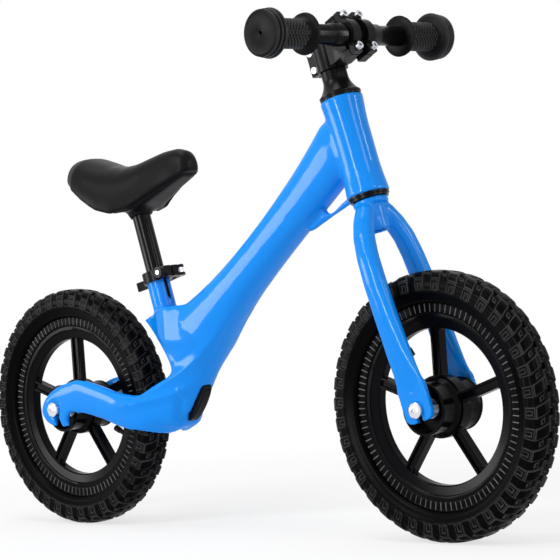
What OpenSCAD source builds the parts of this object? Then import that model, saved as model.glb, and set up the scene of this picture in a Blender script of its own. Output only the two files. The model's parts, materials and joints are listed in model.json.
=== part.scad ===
// Child's balance bike: one-piece cast frame, two 12-inch foam tyres on five-spoke
// plastic wheels, unicrown fork, threadless headset and a height-adjustable saddle.
// X points forward, Y to the rider's left and Z up. The origin lies on the ground,
// halfway between the two axles.

/* [Wheels] */
// Outer diameter of a tyre over its tread blocks
tyre_d = 292; // [280:1:304]
// Distance between the two axles
wheelbase = 584; // [560:1:620]
// Widest part of a tyre
tyre_w = 40; // [34:1:46]
// Diameter at which the tyre sits on the rim
bead_d = 200; // [190:1:206]
// Height of the tread blocks
tread_h = 3.4; // [2:0.2:5]
// Number of tread blocks round each row
tread_n = 38; // [30:1:50]
// Diameter of the ring that closes the spoke windows
window_d = 169; // [160:1:176]
// Number of spokes
spoke_n = 5; // [4:1:7]
// Width of a spoke
spoke_w = 12; // [10:1:18]
// Diameter of the hub cup
cup_d = 58; // [52:1:62]
// Width of the hub over its two cups
cup_w = 66; // [60:1:70]

/* [Axles] */
// Distance between the inner faces of the fork ends and of the rear ends
hub_w = 74; // [72:1:84]
// Diameter of both axles
axle_d = 8; // [6:0.5:10]
// Outer diameter of a wheel bearing
bearing_d = 22; // [19:1:26]
// Width of a wheel bearing
bearing_w = 7; // [5:0.5:8]
// Diameter of the domed axle nuts
nut_d = 18; // [14:0.5:20]
// Height of the domed axle nuts
nut_h = 6; // [4:0.5:8]
// Thickness of the washers under the axle nuts
washer_t = 1.5; // [1:0.1:2.5]

/* [Steering] */
// Angle of the steering axis from the vertical
head_angle = 15.6; // [12:0.1:20]
// Distance of the front axle in front of the steering axis
rake = 19; // [10:1:26]
// Length along the axis from the front axle up to the head tube
fork_len = 245.5; // [236:0.5:260]
// Length of the head tube
head_len = 112; // [100:1:124]
// Outer diameter of the head tube at its waist
head_d = 44; // [42:0.5:48]
// Outer diameter of the head tube at its flared ends
head_rim_d = 48; // [46:0.5:54]
// Bore of the head tube
head_bore = 34; // [32:0.5:36]
// Outer diameter of the steerer tube
steerer_d = 25.4; // [24:0.2:27]
// Height of the flared cover above the head tube
collar_h = 30; // [24:1:34]
// Height of the stem where it grips the steerer
stem_h = 36; // [32:1:42]
// Distance of the handlebar in front of the steering axis
stem_reach = 41; // [38:1:46]
// Height of the handlebar above the lower end of the stem, along the axis
bar_height = 26; // [23:1:29]

/* [Handlebar] */
// Overall width of the handlebar over its grips
bar_w = 292; // [280:2:400]
// Diameter of the handlebar tube
bar_d = 22.2; // [20:0.2:24]
// Diameter of the handlebar where the stem grips it
bar_mid_d = 25.4; // [25:0.2:28]
// Wall of the handlebar tube
bar_wall = 1.8; // [1:0.1:2.5]
// Length of one grip
grip_len = 70; // [60:1:90]
// Diameter of the flange at the inner end of a grip
grip_inner_d = 46; // [38:1:50]
// Diameter of the discs at the outer end of a grip
grip_outer_d = 54; // [44:1:58]
// Diameter of the grip between its flanges
grip_d = 31; // [28:0.5:34]

/* [Seat] */
// Angle of the seat tube from the vertical
seat_angle = 15.1; // [12:0.1:18]
// Outer diameter of the seat post
post_d = 22.2; // [20:0.2:24]
// Wall of the seat post
post_wall = 1.6; // [1:0.1:2.5]
// Length of the seat post below the saddle
post_len = 165; // [140:1:175]
// Height of the post that shows between the seat clamp and the saddle
post_out = 70; // [56:1:76]
// Outer diameter of the seat tube
seat_tube_d = 28; // [26:0.5:31]
// Length of the saddle
saddle_len = 203; // [190:1:220]
// Width of the saddle
saddle_w = 95; // [88:1:120]
// Height of the clamp band
clamp_h = 13; // [11:1:16]
// Wall of the clamp band
clamp_t = 3.2; // [2.4:0.2:4]

/* [Frame] */
// Half width of the frame beam near the head tube
beam_w = 21; // [18:0.5:21.5]
// Half width of the frame body above the chainstays
body_w = 30; // [26:0.5:34]
// Outer face of the chainstays from the middle of the bike
stay_out = 45.6; // [44.6:0.2:50]
// Clearance between a tyre and each chainstay
stay_clear = 10; // [8:0.5:13]

/* [Hidden] */
fit = 0.05;
gap = 0.3;
$fn = 64;
tyre_r = tyre_d / 2;
axle_x = wheelbase / 2;
bead_r = bead_d / 2;
window_r = window_d / 2;
cup_r = cup_d / 2;
hub_in = hub_w / 2;
// steering axis, as unit vectors along the axis and forward across it
ax_up = [-sin(head_angle), cos(head_angle)];
ax_fwd = [cos(head_angle), sin(head_angle)];
front_axle_p = [axle_x, tyre_r];
rear_axle_p = [-axle_x, tyre_r];
head_p = front_axle_p - rake * ax_fwd + fork_len * ax_up;
// headset stack, measured along the steering axis
cup_flange = 2.4;
race_h = 2.6;
crown_z = -cup_flange - race_h - gap;
collar_z = head_len + cup_flange + gap;
stem_z = collar_z + collar_h + gap;
stem_top = stem_z + stem_h;
bar_rise = stem_z + bar_height;
// seat tube
seat_top_p = rear_axle_p + [155.4, 149];
seat_up = [-sin(seat_angle), cos(seat_angle)];

function lerp(a, b, t) = a + (b - a) * t;
function bezier(p, t) =
    pow(1 - t, 3) * p[0] + 3 * t * pow(1 - t, 2) * p[1] + 3 * t * t * (1 - t) * p[2] + pow(t, 3) * p[3];
function signed_pow(v, e) = sign(v) * pow(abs(v), e);
// a superellipse ring in the plane of two axes, n points, exponent e
function ring(c, u, a, v, b, n, e) = [
    for (i = [0 : n - 1])
        let (k = 360 * i / n)
        c + u * a * signed_pow(cos(k), 2 / e) + v * b * signed_pow(sin(k), 2 / e)
];

// skins a list of rings that run right-handed along their path
module loft(rings) {
    n = len(rings[0]);
    m = len(rings);
    sides = [
        for (i = [0 : m - 2])
            for (j = [0 : n - 1])
                let (k = (j + 1) % n)
                each [
                    [i * n + j, (i + 1) * n + j, (i + 1) * n + k],
                    [i * n + j, (i + 1) * n + k, i * n + k]
                ]
    ];
    first = [for (j = [0 : n - 1]) j];
    last = [for (j = [n - 1 : -1 : 0]) (m - 1) * n + j];
    polyhedron(points = [for (r = rings) each r], faces = concat(sides, [first], [last]), convexity = 10);
}

module mirror_y() {
    children();
    mirror([0, 1, 0]) children();
}

// local frame of the steering axis: origin at the lower end of the head tube
module on_steering() {
    translate([head_p[0], 0, head_p[1]]) rotate([0, -head_angle, 0]) children();
}

// local frame of the seat tube: origin at its upper end
module on_seat() {
    translate([seat_top_p[0], 0, seat_top_p[1]]) rotate([0, -seat_angle, 0]) children();
}

// local frame of a wheel: the axle runs along local Z and local Y points up
module on_axle(p) {
    translate([p[0], 0, p[1]]) rotate([90, 0, 0]) children();
}

module tube(d, bore, h) {
    difference() {
        cylinder(d = d, h = h);
        translate([0, 0, -1]) cylinder(d = bore, h = h + 2);
    }
}

// ---- frame ----

// points given from the rear axle or along the steering axis
function from_rear(x, z) = rear_axle_p + [x, z];
function from_head(x, z) = head_p + x * ax_fwd + z * ax_up;

// upper edge of the beam, from the head tube back to the hollow before the seat tube
beam_top = [
    from_head(-31, head_len - 17), from_head(-117, head_len - 76),
    from_rear(267, 144), from_rear(200, 118)
];
// lower edge of the beam, then of the body down to its lowest point
beam_low = [from_head(-19, 28), from_head(-80, 1), from_rear(303, 127), from_rear(257, 64)];
body_low = [from_rear(257, 64), from_rear(233, 34), from_rear(212, -2), from_rear(186, -20)];
// hood behind the seat tube, ending in a point above the tyre
hood_top = [from_rear(200, 118), from_rear(180, 122), from_rear(156, 117), from_rear(128, 104)];
// hollow that follows the tyre from the hood to the chainstays
hood_rear = [
    from_rear(128, 104), from_rear(173, 78), from_rear(178, 30), from_rear(160, -6)
];
beam_steps = 12;
hood_steps = 5;
rear_steps = 10;
body_sides = 36;
// crease in the hood's flank, at its tip and at its middle: how far it lies from the middle of
// the section towards the rear edge, and how wide it is, as shares of the section
tip_crease = [0, 0.86];
hood_crease = [-0.35, 1];
// half width of the hood's rear edge as a share of the body's, and how hollow the fold is
edge_share = 0.12;
fold_hollow = 1.25;
// ring points on the flank between the rear edge and the crease
fold_sides = 6;
// half width of the body's lowest section as a share of the rest
keel_share = 0.52;

// point j of half a folded section, counted from its upper edge down to its keel
function fold_point(j, e, crease) =
    let (
        bend = acos(signed_pow(crease[0], e / 2)),
        full = crease[1] * signed_pow(sin(bend), 2 / e),
        t = (j - 1) / (fold_sides - 1),
        s = (j - fold_sides) / (body_sides / 2 - fold_sides),
        k = lerp(bend, 180, s)
    )
    j == 0 ? [1, 0] :
    j <= fold_sides ? [lerp(1, crease[0], t), lerp(edge_share, full, pow(t, fold_hollow))] :
    [signed_pow(cos(k), 2 / e), lerp(crease[1], 1, min(1, 2 * s)) * signed_pow(sin(k), 2 / e)];
// one section of the casting: fold 0 is a superellipse of exponent e and fold 1 is creased
function body_ring(top, low, half, e, fold = 0, crease = tip_crease) =
    let (mid = (top + low) / 2, h = norm(top - low) / 2, u = (top - low) / (2 * h))
    [
        for (i = [0 : body_sides - 1])
            let (
                k = 360 * i / body_sides,
                plain = [signed_pow(cos(k), 2 / e), signed_pow(sin(k), 2 / e)],
                creased = fold_point(min(i, body_sides - i), e, crease),
                side = 2 * i > body_sides ? -1 : 1,
                p = lerp(plain, [creased[0], side * creased[1]], fold)
            )
            [mid[0] + u[0] * h * p[0], half * p[1], mid[1] + u[1] * h * p[0]]
    ];

module frame_body() {
    loft(concat(
        [body_ring(from_head(0, head_len - 12), from_head(0, 30), beam_w - 2, 2.6)],
        [for (i = [0 : beam_steps])
            let (t = i / beam_steps)
            body_ring(bezier(beam_top, t), bezier(beam_low, t), lerp(beam_w, body_w, t * t), 2.6)],
        [for (i = [1 : hood_steps])
            let (t = i / hood_steps)
            body_ring(bezier(hood_top, t), bezier(body_low, 0.3 * t), body_w, 2.6, t)],
        [for (i = [1 : rear_steps])
            let (t = i / rear_steps)
            body_ring(bezier(hood_rear, t), bezier(body_low, lerp(0.3, 1, t)),
                body_w * lerp(1, keel_share, t * t), lerp(2.6, 1.9, t), min(1, 2.2 * (1 - t)),
                lerp(tip_crease, hood_crease, min(1, 3 * t)))]
    ));
}

// one chainstay: distance from the rear axle, lower and upper edge, middle and half thickness
stay_in = tyre_w / 2 + stay_clear;
stay_y = (stay_in + stay_out) / 2;
stay_t = (stay_out - stay_in) / 2;
end_y = (hub_in + stay_out) / 2;
end_t = (stay_out - hub_in) / 2;
stay_table = [
    [204, -9, 22, 2, 3],
    [199, -17, 26, 3, 5],
    [191, -25, 28.5, 5, 7.5],
    [181, -31, 28, 9, 10],
    [170, -33.5, 25, 14, 14],
    [159, -31.5, 20.5, 23, 13.5],
    [147, -28, 17.5, stay_y - 4.5, stay_t + 2],
    [132, -25.5, 17, stay_y - 0.4, stay_t + 0.4],
    [110, -20.5, 20, stay_y, stay_t],
    [85, -12.5, 27.5, stay_y, stay_t],
    [60, -7, 34, lerp(stay_y, end_y, 0.3), lerp(stay_t, end_t, 0.3)],
    [46, -4.5, 36, lerp(stay_y, end_y, 0.8), lerp(stay_t, end_t, 0.8)],
    [38, -7, 36, end_y, end_t],
    [28, -20.5, 34, end_y, end_t],
    [12, -22.5, 30.5, end_y, end_t],
    [0, -22, 26, end_y, end_t],
    [-10, -20.5, 20.5, end_y, end_t],
    [-18, -16.5, 14, end_y, end_t],
    [-22.5, -11, 7.5, end_y, end_t],
    [-25, -5, 0.5, end_y, end_t]
];

module chainstay() {
    loft([
        for (s = stay_table)
            let (
                c = from_rear(s[0], (s[1] + s[2]) / 2),
                root = min(1, max(0, (s[0] - 132) / 50))
            )
            ring([c[0], s[3], c[1]], [0, 0, 1], (s[2] - s[1]) / 2, [0, 1, 0], s[4], 20, lerp(3.4, 2, root))
    ]);
}

// slot for the axle, the arch in front of it and the seat of the washer
module rear_end_cuts() {
    on_axle(rear_axle_p) {
        translate([0, 0, -60]) cylinder(d = axle_d + 4 * fit, h = 120);
        rotate([0, 0, 13]) translate([-axle_d / 2 - 2 * fit, -40, -60]) cube([axle_d + 4 * fit, 40, 120]);
        translate([32, -14, -60]) cylinder(r = 11.5, h = 120);
        for (s = [0, 1])
            mirror([0, 0, s]) translate([0, 0, stay_out - 1]) cylinder(d = nut_d + 7, h = 5);
    }
}

module head_tube_form() {
    rotate_extrude() polygon([
        [0, 0], [head_rim_d / 2 - 1, 0], [head_rim_d / 2, 1], [head_rim_d / 2, 7],
        [head_d / 2 + 0.7, 20], [head_d / 2, 34], [head_d / 2, head_len - 34],
        [head_d / 2 + 0.7, head_len - 20], [head_rim_d / 2, head_len - 7],
        [head_rim_d / 2, head_len - 1], [head_rim_d / 2 - 1, head_len], [0, head_len]
    ]);
}

// strut below the beam that leaves a slot beside the head tube
module gusset() {
    rotate([90, 0, 0]) translate([0, 0, -4]) linear_extrude(8) polygon([
        [-12, 1], [-24, -0.1], [-56.5, -4.3], [-88, -9.5], [-98, -10], [-94, 2], [-66, 8],
        [-64, 1], [-60, -1], [-53.5, -0.7], [-25.5, 8.7], [-12, 13.5]
    ]);
}

seat_bore_len = 128;
seat_bore_d = post_d + 4 * fit;

cover_chord = [from_rear(197, -17), from_rear(227, 24)];
cover_w = 13;
cover_bulge = 6;
cover_depth = 8;
module cover_form(grow) {
    mid = (cover_chord[0] + cover_chord[1]) / 2;
    run = cover_chord[1] - cover_chord[0];
    turn = atan2(run[1], run[0]);
    translate([mid[0], 0, mid[1]]) rotate([0, -turn, 0]) rotate([90, 0, 0])
        translate([0, 0, -cover_w / 2 - grow]) linear_extrude(cover_w + 2 * grow) polygon(concat(
            [for (k = [-180 : 12 : 0]) [(norm(run) / 2 + grow) * cos(k), (cover_bulge + grow) * sin(k)]],
            [[norm(run) / 2 + grow, cover_depth + grow], [-norm(run) / 2 - grow, cover_depth + grow]]
        ));
}

module frame() {
    color("dodgerblue") difference() {
        union() {
            frame_body();
            mirror_y() chainstay();
            on_steering() head_tube_form();
            on_steering() gusset();
            on_seat() translate([0, 0, -70]) cylinder(d = seat_tube_d, h = 68 + clamp_h - gap / 2);
        }
        on_steering() translate([0, 0, -1]) cylinder(d = head_bore, h = head_len + 2);
        on_seat() translate([0, 0, -seat_bore_len]) cylinder(d = seat_bore_d, h = seat_bore_len + clamp_h);
        on_seat() translate([0, -1.2, -24]) cube([30, 2.4, 24 + clamp_h]);
        rear_end_cuts();
        cover_form(fit);
    }
}

module bottom_cover() {
    color("#1a1a1c") cover_form(0);
}

// ---- headset ----

cup_bore = head_bore - 3;

module cup() {
    difference() {
        union() {
            translate([0, 0, -cup_flange]) cylinder(d = head_rim_d - 2, h = cup_flange);
            cylinder(d = head_bore - 2 * fit, h = 10);
        }
        translate([0, 0, -cup_flange - 1]) cylinder(d = cup_bore, h = 9 + cup_flange);
        translate([0, 0, 7]) cylinder(d = steerer_d + 2, h = 5);
    }
}

module headset_lower_cup() {
    color("#202022") on_steering() cup();
}

module headset_upper_cup() {
    color("#202022") on_steering() translate([0, 0, head_len]) mirror([0, 0, 1]) cup();
}

module headset_bearing() {
    tube(cup_bore - 2 * fit, steerer_d + 2 * fit, 7);
}

module headset_lower_bearing() {
    color("silver") on_steering() translate([0, 0, -cup_flange]) headset_bearing();
}

module headset_upper_bearing() {
    color("silver") on_steering() translate([0, 0, head_len + cup_flange - 7]) headset_bearing();
}

module crown_race() {
    color("silver") on_steering() translate([0, 0, crown_z + gap / 2])
        tube(head_rim_d - 5, steerer_d + 2 * fit, race_h - gap / 2);
}

module headset_cover() {
    color("#18181a") on_steering() translate([0, 0, collar_z]) difference() {
        rotate_extrude() polygon([
            [0, 0], [head_rim_d / 2 - 0.5, 0], [head_rim_d / 2 - 0.5, 3], [head_rim_d / 2 - 2.4, 5],
            [16.5, 13], [14.8, 18], [14.6, collar_h], [0, collar_h]
        ]);
        translate([0, 0, -1]) cylinder(d = steerer_d + 2 * fit, h = collar_h + 2);
    }
}

// ---- fork ----

plate_t = 6;
// length of the open lower end of the steerer below the head tube
skirt_h = 42;
leg_y = hub_in + plate_t / 2;
leg_clear = leg_y - tyre_w / 2 - 5;
// forward place, sideways place as a share of the leg, place down the fork, tilt, half sizes
leg_table = [
    [0.5, 0.18, 0.060, 55, 9, 11],
    [2, 0.40, 0.085, 48, 11, 11.6],
    [3.5, 0.64, 0.140, 34, 11.2, 11.8],
    [5, 0.82, 0.205, 20, 11.2, 12.2],
    [6.5, 0.93, 0.295, 9, 11, 12.8],
    [8.5, 0.985, 0.405, 2, min(10.8, leg_clear), 13.6],
    [11, 1, 0.570, 0, min(9.6, leg_clear), 14.6],
    [14, 1, 0.735, 0, 7.6, 16.4],
    [16.5, 1, 0.845, 0, 4.6, 18],
    [18, 1, 0.915, 0, plate_t / 2, 18.6]
];

module fork_leg() {
    loft([
        for (s = leg_table)
            ring([s[0] * rake / 19, s[1] * leg_y, -s[2] * fork_len], [0, cos(s[3]), sin(s[3])], s[4],
                [1, 0, 0], s[5], 20, 2.2)
    ]);
    fork_end();
}

module fork_end() {
    translate([rake, leg_y + plate_t / 2, -fork_len]) rotate([90, 0, 0]) linear_extrude(plate_t)
        difference() {
            union() {
                polygon([[-19, -4], [19, -4], [18.4, 24], [12, 48], [-16, 48], [-20, 24]]);
                translate([-10, -13]) square([20, 12]);
                for (x = [-10, 10]) translate([x, -4]) circle(r = 9);
            }
            circle(d = axle_d + 4 * fit);
            translate([-axle_d / 2 - 2 * fit, -20]) square([axle_d + 4 * fit, 20]);
            translate([-2.5, 20]) square(5);
        }
}

module fork() {
    color("dodgerblue") on_steering() difference() {
        union() {
            translate([0, 0, crown_z]) mirror([0, 0, 1]) cylinder(d = head_rim_d - 8, h = 7);
            translate([0, 0, -skirt_h]) cylinder(d = steerer_d + 2.6, h = skirt_h + crown_z);
            translate([0, 0, -20]) cylinder(d = steerer_d, h = 20 + stem_top - 2);
            mirror_y() fork_leg();
        }
        translate([0, 0, -60]) cylinder(d = steerer_d - 5, h = 60 + stem_top - anchor_h);
        translate([0, 0, stem_top - anchor_h - 6]) cylinder(d = cap_bolt_d + 4 * fit, h = 30);
        // clearance for the tyre below the crown
        translate([rake, 0, -fork_len]) rotate([90, 0, 0]) translate([0, 0, -tyre_w / 2 - 4])
            cylinder(r = tyre_r + 8, h = tyre_w + 8);
    }
}

// ---- stem and handlebar ----

bar_p = head_p + stem_reach * ax_fwd + bar_rise * ax_up;
split_angle = 12;
band_t = 5;
band_w = 12;
band_y = 12;
stem_w = 42;
stem_bolt_d = 5;
stem_bolt_head = 8.5;
split_gap = 0.6;
lobe_t = 7;
// the bolts stand just clear of the band's ring where their heads sit on the lobes
band_r = bar_mid_d / 2 + band_t;
stem_bolt_r = sqrt(pow(band_r, 2) - pow(split_gap + lobe_t, 2)) + stem_bolt_head / 2 + gap;
lobe_y = 9;
// the steerer's upper end, which anchors the cap's bolt
anchor_h = 14;
cap_h = 3.6;
cap_bolt_d = 6;

module on_bar() {
    translate([bar_p[0], 0, bar_p[1]]) rotate([-90, 0, 0]) children();
}

// local frame of the bar clamp: X looks out of the split, Y along the bar
module on_split() {
    on_steering() translate([stem_reach, 0, bar_rise]) rotate([0, -split_angle, 0]) children();
}

module stem() {
    color("#1c1c1e") difference() {
        union() {
            on_steering() translate([0, 0, stem_z]) cylinder(d = steerer_d + 9, h = stem_h);
            on_steering() translate([-24, -lobe_y, stem_z + 1]) cube([18, 2 * lobe_y, stem_h - 2]);
            // neck from the steerer clamp to the bar clamp
            on_steering() rotate([90, 0, 0]) translate([0, 0, -14]) linear_extrude(28) polygon([
                [0, stem_z + 3], [17, stem_z + 3], [stem_reach - 3, bar_rise - 18],
                [stem_reach - 6, bar_rise + 17], [stem_reach - 14, bar_rise + 17],
                [19, stem_top - 1], [0, stem_top - 1]
            ]);
            difference() {
                on_split() rotate([90, 0, 0]) translate([0, 0, -stem_w / 2])
                    cylinder(r = band_r, h = stem_w);
                on_split() translate([-split_gap, -30, -40]) cube([60, 60, 80]);
            }
            for (y = [-band_y, band_y])
                on_split() translate([-14, y - band_w / 2, -stem_bolt_r - 5])
                    cube([14 - split_gap, band_w, 2 * stem_bolt_r + 10]);
        }
        on_steering() translate([0, 0, stem_z - 1]) cylinder(d = steerer_d + 2 * fit, h = stem_h + 2);
        on_steering() translate([-32, -1.2, stem_z - 1]) cube([24, 2.4, stem_h + 2]);
        on_bar() translate([0, 0, -30]) cylinder(d = bar_mid_d + 2 * fit, h = 60);
        clamp_bolt_holes();
        pinch_bolts_form(2 * fit);
    }
}

module at_clamp_bolts() {
    for (y = [-band_y, band_y])
        for (z = [-stem_bolt_r, stem_bolt_r])
            on_split() translate([0, y, z]) rotate([0, 90, 0]) children();
}

module clamp_bolt_holes() {
    at_clamp_bolts() translate([0, 0, -14]) cylinder(d = stem_bolt_d + 4 * fit, h = 40);
}

module clamp_band() {
    difference() {
        union() {
            on_split() rotate([90, 0, 0]) translate([0, 0, -band_w / 2])
                cylinder(r = band_r, h = band_w);
            on_split() translate([split_gap, -band_w / 2, -stem_bolt_r - 5])
                cube([lobe_t, band_w, 2 * stem_bolt_r + 10]);
        }
        on_split() rotate([90, 0, 0]) translate([0, 0, -30]) cylinder(d = bar_mid_d + 2 * fit, h = 60);
        on_split() translate([split_gap - 40, -30, -40]) cube([40, 60, 80]);
    }
}

module band_at(y) {
    color("#1c1c1e") difference() {
        translate([0, y, 0]) clamp_band();
        clamp_bolt_holes();
    }
}

module clamp_band_left() {
    band_at(band_y);
}

module clamp_band_right() {
    band_at(-band_y);
}

module cap_screw(d, len, head) {
    difference() {
        union() {
            translate([0, 0, -len]) cylinder(d = d, h = len);
            cylinder(d = head, h = d);
        }
        translate([0, 0, d * 0.4]) cylinder(d = head * 0.55, h = d, $fn = 6);
    }
}

module clamp_band_bolts() {
    color("silver") at_clamp_bolts() translate([0, 0, split_gap + lobe_t])
        cap_screw(stem_bolt_d, 20, stem_bolt_head);
}

module pinch_bolts_form(grow) {
    for (z = [stem_z + 8, stem_z + stem_h - 8])
        on_steering() translate([-19, -lobe_y + 3, z]) rotate([90, 0, 0]) {
            translate([0, 0, -13]) cylinder(d = stem_bolt_d + 2 * grow, h = 13);
            cylinder(d = 7.4 + 2 * grow, h = grow > 0 ? 10 : stem_bolt_d - 1.5);
        }
}

module stem_pinch_bolts() {
    color("silver") pinch_bolts_form(0);
}

module stem_cap() {
    color("#18181a") on_steering() translate([0, 0, stem_top + fit]) difference() {
        union() {
            cylinder(d = 33, h = cap_h - 1.6);
            translate([0, 0, cap_h - 1.6]) cylinder(d1 = 33, d2 = 29, h = 1.6);
        }
        translate([0, 0, -1]) cylinder(d = cap_bolt_d + 4 * fit, h = 8);
    }
}

// ends inside its anchor, so the bore below stays open
module stem_cap_bolt() {
    color("silver") on_steering() translate([0, 0, stem_top + cap_h + 2 * fit])
        cap_screw(cap_bolt_d, cap_h + anchor_h - 1, 11);
}

module handlebar() {
    color("#161618") on_bar() difference() {
        union() {
            translate([0, 0, -bar_w / 2 + 3]) cylinder(d = bar_d, h = bar_w - 6);
            rotate_extrude() polygon([
                [0, -39], [bar_d / 2, -39], [bar_mid_d / 2, -36], [bar_mid_d / 2, 36],
                [bar_d / 2, 39], [0, 39]
            ]);
        }
        translate([0, 0, -bar_w]) cylinder(d = bar_d - 2 * bar_wall, h = 2 * bar_w);
    }
}

// a grip on the +Z half of the bar frame
module grip_form() {
    e = bar_w / 2;
    s = e - grip_len;
    ro = grip_outer_d / 2;
    ri = grip_inner_d / 2;
    rg = grip_d / 2;
    difference() {
        rotate_extrude() polygon([
            [0, s], [ri - 1.5, s], [ri, s + 1.5], [ri - 1, s + 4], [rg + 3, s + 6], [rg, s + 9],
            [rg, e - 19], [ro - 5, e - 15.5], [ro - 1, e - 15], [ro, e - 13.5], [ro - 0.6, e - 11.6],
            [ro - 3, e - 11], [ro - 3, e - 10], [ro - 1, e - 9.4], [ro - 1, e - 6.6], [ro - 3.6, e - 6],
            [ro - 3.6, e - 5], [ro - 2, e - 4.4], [ro - 2, e - 1.4], [ro - 3.4, e], [0, e]
        ]);
        translate([0, 0, s - 1]) cylinder(d = bar_d + 2 * fit, h = grip_len - 2);
        translate([0, 0, e - 10]) cylinder(d = 4, h = 12);
    }
}

module grip_left() {
    color("#202022") on_bar() grip_form();
}

module grip_right() {
    color("#202022") on_bar() mirror([0, 0, 1]) grip_form();
}

// ---- seat ----

clamp_r = seat_tube_d / 2 + clamp_t;
skewer_x = clamp_r + 5;
skewer_d = 5;
ear_y = 10;
saddle_z = clamp_h + post_out;
// depth of the post in the saddle's boss
post_socket = 22;
// cam of the lever: its pivot lies off its middle, so it presses only when closed
cam_r = 6.5;
cam_off = 0.8;
pivot_y = ear_y + gap + cam_r + cam_off;
eye_d = 9;
eye_h = 6;
pin_d = 4;

module seat_clamp() {
    color("#18181a") on_seat() difference() {
        union() {
            cylinder(r = clamp_r, h = clamp_h);
            translate([clamp_r - 6, -ear_y, 0]) cube([17, 2 * ear_y, clamp_h]);
        }
        translate([0, 0, -1]) cylinder(d = seat_bore_d, h = clamp_h + 2);
        translate([0, 0, -1]) cylinder(d = seat_tube_d + 2 * fit, h = clamp_h - 1);
        translate([5, -1.2, -1]) cube([30, 2.4, clamp_h + 2]);
        translate([skewer_x, 30, clamp_h / 2]) rotate([90, 0, 0]) cylinder(d = skewer_d + 2 * fit, h = 60);
    }
}

module on_skewer() {
    on_seat() translate([skewer_x, 0, clamp_h / 2]) rotate([90, 0, 0]) children();
}

module clamp_skewer() {
    color("silver") difference() {
        union() {
            on_skewer() translate([0, 0, -pivot_y]) cylinder(d = skewer_d, h = pivot_y + ear_y + gap + 9.5);
            on_seat() translate([skewer_x, pivot_y, (clamp_h - eye_h) / 2]) cylinder(d = eye_d, h = eye_h);
        }
        on_seat() translate([skewer_x, pivot_y, 0]) cylinder(d = pin_d + 2 * fit, h = clamp_h);
    }
}

module clamp_nut() {
    color("#2a2a2c") on_skewer() translate([0, 0, ear_y + gap]) difference() {
        cylinder(d = 13, h = 9);
        translate([0, 0, -1]) cylinder(d = skewer_d + 2 * fit, h = 20);
    }
}

module clamp_lever() {
    color("#18181a") on_seat() translate([skewer_x, pivot_y, 0]) difference() {
        union() {
            translate([0, -cam_off, 0]) cylinder(r = cam_r, h = clamp_h);
            translate([-30, 0, 0]) cube([30, 4.5, clamp_h]);
            translate([-30, 0, 0]) rotate([0, 0, 14]) translate([-40, 0, 1]) cube([41, 3.5, clamp_h - 2]);
        }
        translate([-eye_d / 2 - gap, -12, (clamp_h - eye_h) / 2 - gap]) cube([20, 24, eye_h + 2 * gap]);
        translate([0, 0, -1]) cylinder(d = pin_d + 2 * fit, h = clamp_h + 2);
    }
}

module lever_pin() {
    color("silver") on_seat() translate([skewer_x, pivot_y, 0]) cylinder(d = pin_d, h = clamp_h);
}

module seat_post() {
    color("#111113") on_seat() translate([0, 0, saddle_z - post_len + post_socket])
        tube(post_d, post_d - 2 * post_wall, post_len);
}

saddle_p = seat_top_p + saddle_z * seat_up;
// distance from the post, half width, lower edge, crown, inner arch, drop of the shell
saddle_table = [
    [-0.525, 0.12, 53, 58, 0.1, -1],
    [-0.50, 0.46, 49, 68, 0.2, -2],
    [-0.45, 0.76, 44, 75.5, 0.3, -3],
    [-0.37, 0.94, 36, 76, 0.4, -3],
    [-0.28, 1, 24, 70.5, 0.5, -3],
    [-0.17, 0.98, 10.5, 63.5, 0.5, -3],
    [-0.06, 0.90, 4.5, 61, 0.5, -2],
    [0.05, 0.76, 9, 63.5, 0.45, 1],
    [0.15, 0.60, 20, 69, 0.4, 3.5],
    [0.26, 0.48, 31, 74.5, 0.4, 3.5],
    [0.36, 0.41, 39, 76.5, 0.4, 2],
    [0.43, 0.34, 45, 73, 0.4, 1],
    [0.468, 0.18, 50, 65, 0.3, 0.5]
];

// width of the arch under the pad as a share of the pad's
pad_inner = 0.84;

function dome(x, half, z0, z1, n, e) = [
    for (i = [0 : n]) let (k = 180 * i / n)
        [x, half * signed_pow(cos(k), 2 / e), z0 + (z1 - z0) * signed_pow(sin(k), 2 / e)]
];
function saddle_x(s) = s[0] * saddle_len;
function saddle_half(s) = s[1] * saddle_w / 2;
function arch_top(s) = s[2] + s[4] * (s[3] - s[2]);

module saddle_pad() {
    color("#1d1d1f") translate([saddle_p[0], 0, saddle_p[1]]) difference() {
        loft([for (s = saddle_table) dome(saddle_x(s), saddle_half(s), s[2], s[3], 20, 2.4)]);
        loft([
            for (i = [1 : len(saddle_table) - 2])
                let (s = saddle_table[i], half = saddle_half(s) * pad_inner)
                concat(
                    [[saddle_x(s), half, s[2] - 4]],
                    dome(saddle_x(s), half, s[2], arch_top(s), 12, 2.4),
                    [[saddle_x(s), -half, s[2] - 4]]
                )
        ]);
    }
}

module saddle_shell() {
    color("#141416") difference() {
        union() {
            translate([saddle_p[0], 0, saddle_p[1]]) loft([
                for (i = [1 : len(saddle_table) - 2])
                    let (s = saddle_table[i])
                    concat(
                        dome(saddle_x(s), saddle_half(s) * pad_inner - 0.8, s[2] - 0.3, arch_top(s) - 0.6,
                            12, 2.4),
                        [for (k = [1, -1]) [saddle_x(s), -k * saddle_half(s) * 0.6, s[2] - 0.4 - s[5]]]
                    )
            ]);
            on_seat() translate([0, 0, saddle_z]) rotate_extrude() polygon([
                [0, 0], [14, 0], [14.6, 1], [15.5, 8], [18, 18], [22, 28], [0, 28]
            ]);
        }
        on_seat() translate([0, 0, saddle_z - 30]) cylinder(d = post_d + 2 * fit, h = 30 + post_socket + fit);
    }
}

// ---- axles ----

module axle_rod(len) {
    translate([0, 0, -len / 2]) cylinder(d = axle_d, h = len);
}

module both_ends() {
    children();
    mirror([0, 0, 1]) children();
}

module washer(z) {
    both_ends() translate([0, 0, z]) tube(nut_d - 1, axle_d + 2 * fit, washer_t);
}

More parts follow.
